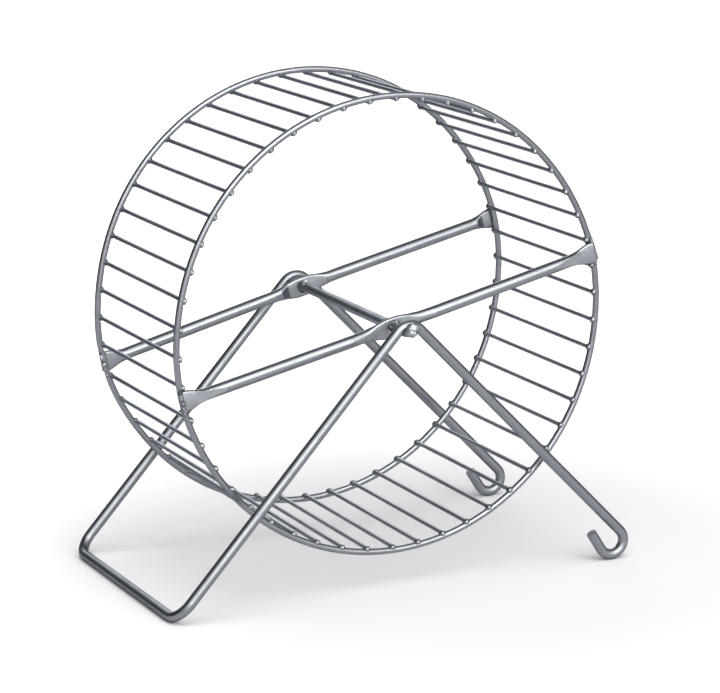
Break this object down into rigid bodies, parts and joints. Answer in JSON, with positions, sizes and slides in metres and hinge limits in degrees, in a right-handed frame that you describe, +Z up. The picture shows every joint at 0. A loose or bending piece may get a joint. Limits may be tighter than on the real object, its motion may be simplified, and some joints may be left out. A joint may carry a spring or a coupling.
{
  "type": "rodent exercise wheel",
  "caption": "Wire running wheel for a small rodent, turning freely on a fixed axle in a bent-wire stand with a base bar on one side and hooked feet on the other.",
  "frame": {"origin": "on the floor, under the middle of the stand", "axes": "+X from the base bar towards the hooked feet, +Y along the axle towards the rear, +Z up"},
  "size_m": [0.2172, 0.125, 0.2134],
  "materials": {
    "stand_steel": "satin bright zinc plating",
    "axle_steel": "satin bright zinc plating, worn",
    "wheel_steel": "satin bright zinc plating",
    "rung_steel": "satin bright zinc plating"
  },
  "bodies": {
    "stand": {"stand_wire": "stand_steel", "axle": "axle_steel"},
    "wheel": {"rim_front": "wheel_steel", "rim_rear": "wheel_steel", "spoke_front": "wheel_steel", "spoke_rear": "wheel_steel", "rung_01": "rung_steel", "rung_02": "rung_steel", "rung_03": "rung_steel", "rung_04": "rung_steel", "rung_05": "rung_steel", "rung_06": "rung_steel", "rung_07": "rung_steel", "rung_08": "rung_steel", "rung_09": "rung_steel", "rung_10": "rung_steel", "rung_11": "rung_steel", "rung_12": "rung_steel", "rung_13": "rung_steel", "rung_14": "rung_steel", "rung_15": "rung_steel", "rung_16": "rung_steel", "rung_17": "rung_steel", "rung_18": "rung_steel", "rung_19": "rung_steel", "rung_20": "rung_steel", "rung_21": "rung_steel", "rung_22": "rung_steel", "rung_23": "rung_steel", "rung_24": "rung_steel", "rung_25": "rung_steel", "rung_26": "rung_steel", "rung_27": "rung_steel", "rung_28": "rung_steel", "rung_29": "rung_steel", "rung_30": "rung_steel", "rung_31": "rung_steel", "rung_32": "rung_steel", "rung_33": "rung_steel", "rung_34": "rung_steel", "rung_35": "rung_steel", "rung_36": "rung_steel", "rung_37": "rung_steel", "rung_38": "rung_steel", "rung_39": "rung_steel", "rung_40": "rung_steel", "rung_41": "rung_steel", "rung_42": "rung_steel", "rung_43": "rung_steel", "rung_44": "rung_steel", "rung_45": "rung_steel", "rung_46": "rung_steel", "rung_47": "rung_steel", "rung_48": "rung_steel", "rung_49": "rung_steel", "rung_50": "rung_steel"}
  },
  "joints": [
    {"name": "wheel_spin", "type": "hinge", "parent": "stand", "child": "wheel", "pos_m": [-0.00035, 0, 0.1134], "axis": [0, 1, 0], "continuous": true}
  ]
}
